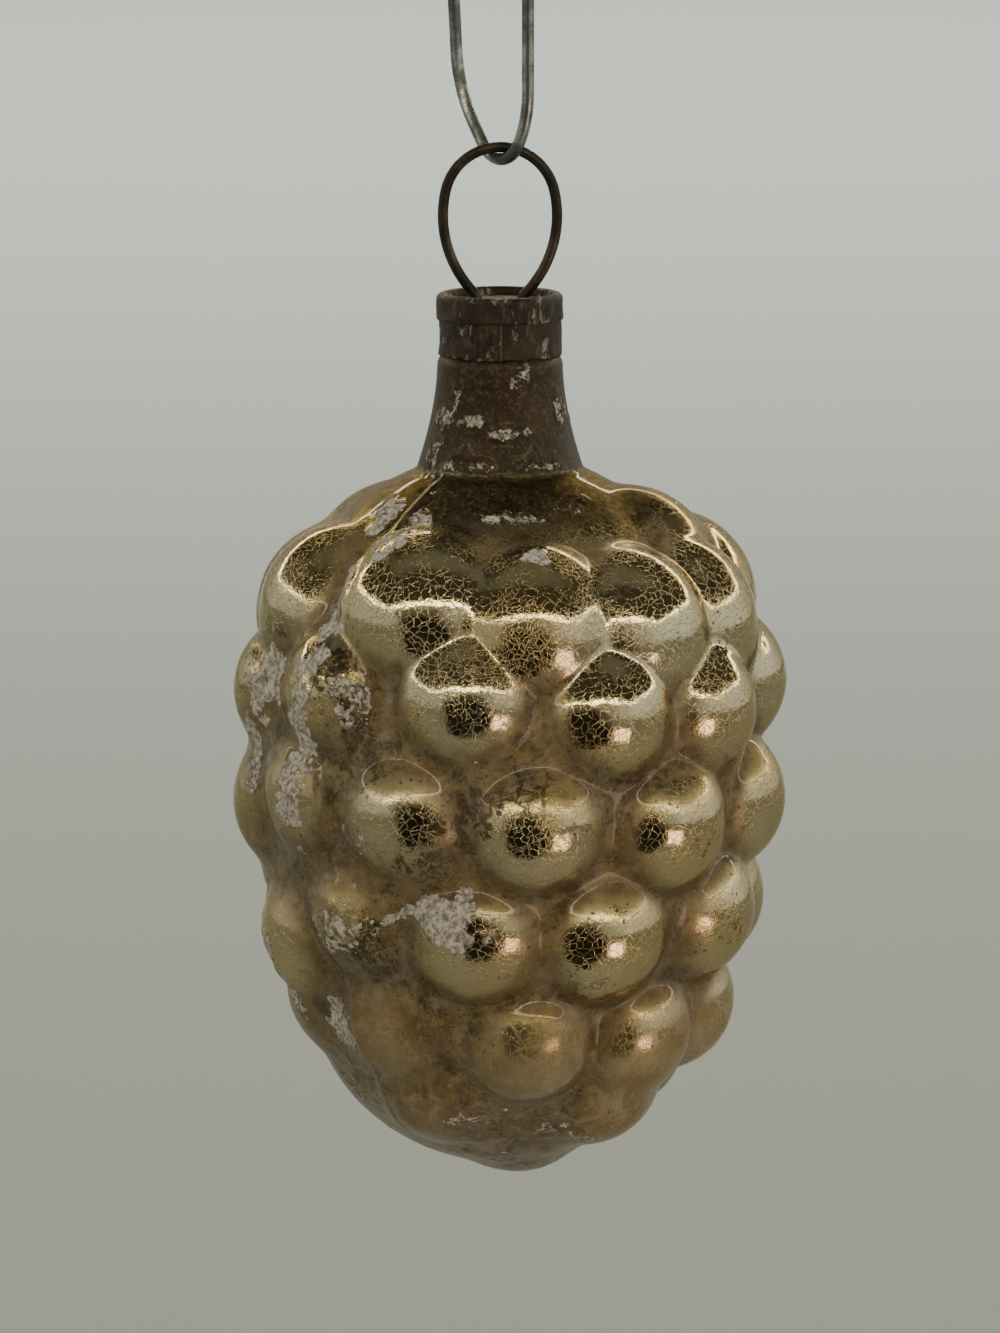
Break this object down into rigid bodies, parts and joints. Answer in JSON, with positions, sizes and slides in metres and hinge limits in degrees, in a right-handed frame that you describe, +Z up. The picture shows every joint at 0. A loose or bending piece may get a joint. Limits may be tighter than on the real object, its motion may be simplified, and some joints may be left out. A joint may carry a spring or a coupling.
{
  "type": "glass grape cluster ornament",
  "caption": "Hollow blown-glass grape-cluster ornament with a tin cap and a spring-wire ring, hanging from a bent wire hook for a branch or peg.",
  "frame": {"origin": "highest point of the inside of the hook's crook, where it rests on a branch or peg", "axes": "+Z up along the line the ornament hangs on, the wire ring in the XZ plane, -Y the front with the cap's seam"},
  "size_m": [0.0498, 0.0496, 0.1266],
  "materials": {
    "hook_steel": "drawn grey steel wire, dull with bright rubbed lines",
    "ring_wire": "dark brown oxidised spring wire",
    "cap_tin": "thin tinned sheet, brown with rust and grey worn patches",
    "silvered_glass": "silvered inside and gold lacquered outside, crazed, spotted and flaked with age"
  },
  "bodies": {
    "hook": {"hanger_hook": "hook_steel"},
    "clip": {"ring_clip": "ring_wire", "cap_lid": "cap_tin", "cap_band": "cap_tin"},
    "glass": {"glass_body": "silvered_glass"}
  },
  "joints": [
    {"name": "ring_swing", "type": "hinge", "parent": "hook", "child": "clip", "pos_m": [0, 0, -0.03345], "axis": [0.6428, -0.766, 0], "range_deg": [-60, 60]},
    {"name": "glass_pull", "type": "slide", "parent": "clip", "child": "glass", "axis": [0, 0, -1], "range_m": [0, 0.02]}
  ]
}
